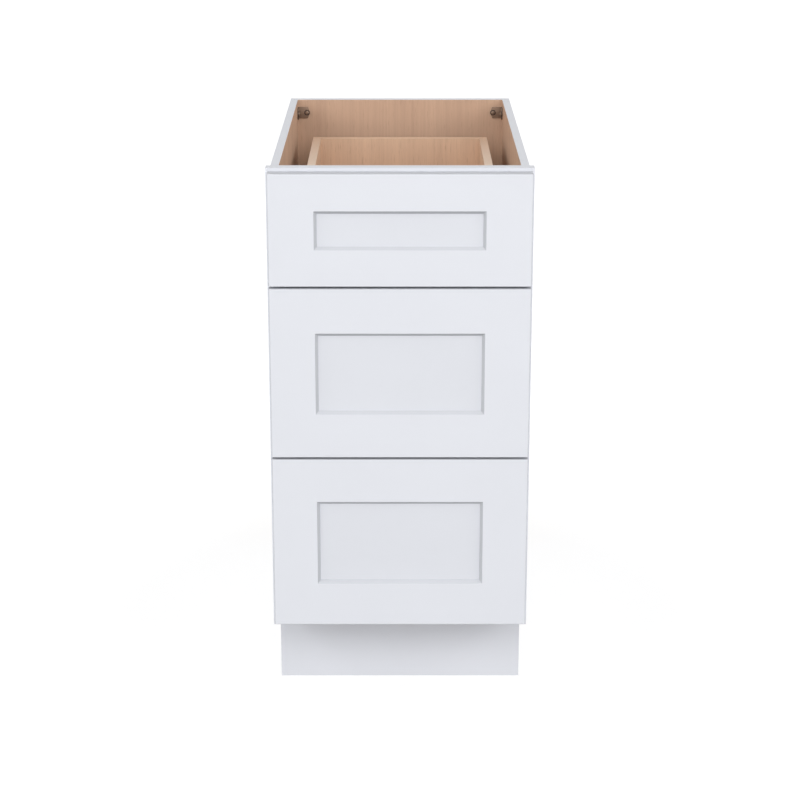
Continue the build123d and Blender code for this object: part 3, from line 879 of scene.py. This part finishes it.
# corner brackets: flat legs that end in a round boss, with a raised ring round the screw
bracketLook = {
    "legStraight": 0.0166,
    "neckReach": 0.0181,
    "neckHalf": 0.0051,
    "bossCentre": 0.0154,
    "bossRadius": 0.0048,
    "bossAngle": 50,
    "bossSteps": 12,
    "steel": 0.0020,
    "edge": 0.0004,
    "edgeSteps": 2,
    "ringRadius": 0.0046,
    "ringWidth": 0.0013,
    "ringHeight": 0.0005,
    "ringSteps": 28,
    "ringProfile": ((0.0, 0.0), (0.2, 1.0), (0.8, 1.0), (1.0, 0.0)),  # shares of the width and the height
    "smoothAngle": 40,
}
edgeShadeAndRingFinish = 1  # the second of the bracket mesh's two materials: the dark tone painted as shade on the plate's sides, also given to the ring


def legOutline(start, halfHeight):  # one leg seen square on: the distance along the wall and the rise
    look = bracketLook
    lower = [
        (start, -halfHeight),
        (look["legStraight"], -halfHeight),
        (look["neckReach"], -look["neckHalf"]),
    ]
    boss = []
    for step in range(look["bossSteps"] + 1):
        angle = math.radians(look["bossAngle"]) * (2 * step / look["bossSteps"] - 1)
        reach = look["bossCentre"] + look["bossRadius"] * math.cos(angle)
        boss.append((reach, look["bossRadius"] * math.sin(angle)))
    upper = [(reach, -rise) for reach, rise in reversed(lower)]
    return lower + boss + upper


def bracketLeg(work, corner, along, out, outline):  # a plate on the wall, with a softened rim; its cut sides take the dark tone painted as shade
    wall = [work.verts.new(corner + along * reach + upwards * rise) for reach, rise in outline]
    plate = [work.verts.new(point.co + out * bracketLook["steel"]) for point in wall]
    work.faces.new(wall)
    plateFace = work.faces.new(plate)
    for index, point in enumerate(wall):
        after = (index + 1) % len(wall)
        side = work.faces.new((point, wall[after], plate[after], plate[index]))
        side.material_index = edgeShadeAndRingFinish
    edge = {"offset": bracketLook["edge"], "segments": bracketLook["edgeSteps"], "profile": 0.5}
    bmesh.ops.bevel(work, geom=list(plateFace.edges), affect="EDGES", **edge)


def bracketRing(work, corner, along, out):  # the raised ring round the screw
    look = bracketLook
    centre = corner + along * look["bossCentre"] + out * look["steel"]
    inner = look["ringRadius"] - look["ringWidth"]
    sections = []
    for step in range(look["ringSteps"]):
        turn = 2 * math.pi * step / look["ringSteps"]
        spoke = along * math.cos(turn) + upwards * math.sin(turn)
        section = []
        for across, rise in look["ringProfile"]:
            reach = inner + look["ringWidth"] * across
            section.append(work.verts.new(centre + spoke * reach + out * look["ringHeight"] * rise))
        sections.append(section)
    for step, section in enumerate(sections):
        after = sections[(step + 1) % len(sections)]
        for index in range(len(section)):
            other = (index + 1) % len(section)
            face = work.faces.new((section[index], section[other], after[other], after[index]))
            face.material_index = edgeShadeAndRingFinish


def makeBrackets(name):
    work = bmesh.new()
    for solid in solidsOf("corner_brackets"):
        low, high = cornersOf(solid)
        hand = handOf(low)
        corner = Vector((high.x if hand > 0 else low.x, high.y, (low.z + high.z) / 2))
        inwards = -hand * sideways
        legs = ((inwards, forwards, 0.0), (forwards, inwards, bracketLook["steel"]))
        for along, out, start in legs:
            bracketLeg(work, corner, along, out, legOutline(start, (high.z - low.z) / 2))
            bracketRing(work, corner, along, out)
    mesh = bpy.data.meshes.new(name)
    work.to_mesh(mesh)
    work.free()
    mesh.materials.append(bronze)
    mesh.materials.append(bronzeEdgeShadeAndRing)
    smoothByAngle(mesh, bracketLook["smoothAngle"])
    return newObject(name, mesh)


settle(makeBrackets("cornerBracketPlates"), "cabinet", "dark_steel", "corner_brackets")
print("cornerBracketPlates made")


# stage: a white floor that keeps a faint shadow, and a white world behind it
stageLook = {
    "floorHalf": 15.0,
    "floorDrop": 0.0002,
    "shadowEmission": 0.84,
    "shadowReach": (0.45, 1.1),
    "seenDiffuse": 0.2,
    "bounceTone": 0.515,
    "fill": 0.34,
}


def seenDirectly(tree):
    path = addNode(tree, "ShaderNodeLightPath")
    seen = maths(tree, "MAXIMUM", path.outputs["Is Camera Ray"], path.outputs["Is Glossy Ray"])
    return maths(tree, "MAXIMUM", seen, path.outputs["Is Transmission Ray"])


def greyDiffuse(tree, tone):
    return addNode(tree, "ShaderNodeBsdfDiffuse", {"Color": (tone, tone, tone, 1.0)}).outputs[0]


def makeFloor():
    material, tree, shader = newMaterial("studioFloor")
    tree.nodes.remove(shader)
    distance = lengthOf(tree, objectCoords(tree))
    strength = rescale(tree, distance, stageLook["shadowEmission"], 1.0, *stageLook["shadowReach"])
    glow = addNode(tree, "ShaderNodeEmission", {"Strength": strength}).outputs[0]
    seen = greyDiffuse(tree, stageLook["seenDiffuse"])
    bright = addNode(tree, "ShaderNodeAddShader", {0: seen, 1: glow}).outputs[0]
    bounce = greyDiffuse(tree, stageLook["bounceTone"])
    mixed = addNode(tree, "ShaderNodeMixShader", {0: seenDirectly(tree), 1: bounce, 2: bright}).outputs[0]
    tree.links.new(mixed, tree.nodes["Material Output"].inputs["Surface"])
    half, level = stageLook["floorHalf"], -stageLook["floorDrop"]
    corners = [(-half, -half, level), (half, -half, level), (half, half, level), (-half, half, level)]
    mesh = bpy.data.meshes.new("studioFloor")
    mesh.from_pydata(corners, [], [range(len(corners))])
    mesh.materials.append(material)
    newObject("studioFloor", mesh)


def makeWorld():
    world = bpy.data.worlds.new("studioWorld")
    scene.world = world
    world.use_nodes = True
    tree = world.node_tree
    background = tree.nodes["Background"]
    background.inputs["Color"].default_value = (1.0, 1.0, 1.0, 1.0)
    plug(tree, background.inputs["Strength"], rescale(tree, seenDirectly(tree), stageLook["fill"], 1.0))


makeFloor()
makeWorld()


# soft studio lamps: place and size in metres, power in watts. The rear and back lamps stay below the rim
lampTarget = Vector((0.0, 0.0, 0.45))
lamps = {
    "frontLamp": {"place": (0.0, -14.0, 3.0), "size": (7.0, 4.6), "power": 396.0},
    "highLamp": {"place": (0.0, -9.0, 7.5), "size": (6.0, 4.0), "power": 217.0},
    "leftHighLamp": {"place": (-6.8, -4.0, 4.55), "size": (7.6, 4.4), "power": 300.0},
    "rightHighLamp": {"place": (6.8, -4.0, 4.55), "size": (7.6, 4.4), "power": 300.0},
    "leftRearLamp": {"place": (-4.0, 1.8, 0.42), "size": (2.4, 0.7), "power": 54.0},
    "rightRearLamp": {"place": (4.0, 1.8, 0.42), "size": (2.4, 0.7), "power": 54.0},
    "backLamp": {"place": (0.0, 12.0, 0.42), "size": (6.0, 0.7), "power": 440.0},
}
for name, lamp in lamps.items():
    light = bpy.data.lights.new(name, "AREA")
    light.shape = "RECTANGLE"
    light.size, light.size_y = lamp["size"]
    light.energy = lamp["power"]
    lampObject = newObject(name, light)
    lampObject.location = lamp["place"]
    lampObject.rotation_euler = (lampTarget - Vector(lamp["place"])).to_track_quat("-Z", "Y").to_euler()


# camera: centred in front of the cabinet, above it, looking down
cameraLook = {
    "back": 3.1796,
    "height": 1.3771,
    "lookDown": 17.462,
    "focalPixels": 2071.1,
    "imagePixels": 800,
}
cameraData = bpy.data.cameras.new("photoCamera")
cameraData.lens = cameraData.sensor_width * cameraLook["focalPixels"] / cameraLook["imagePixels"]
camera = newObject("photoCamera", cameraData)
camera.location = (0.0, -cameraLook["back"], cameraLook["height"])
camera.rotation_euler = (math.pi / 2 - math.radians(cameraLook["lookDown"]), 0.0, 0.0)
scene.camera = camera
scene.view_settings.view_transform = "Standard"
print("stage, lamps and camera set")
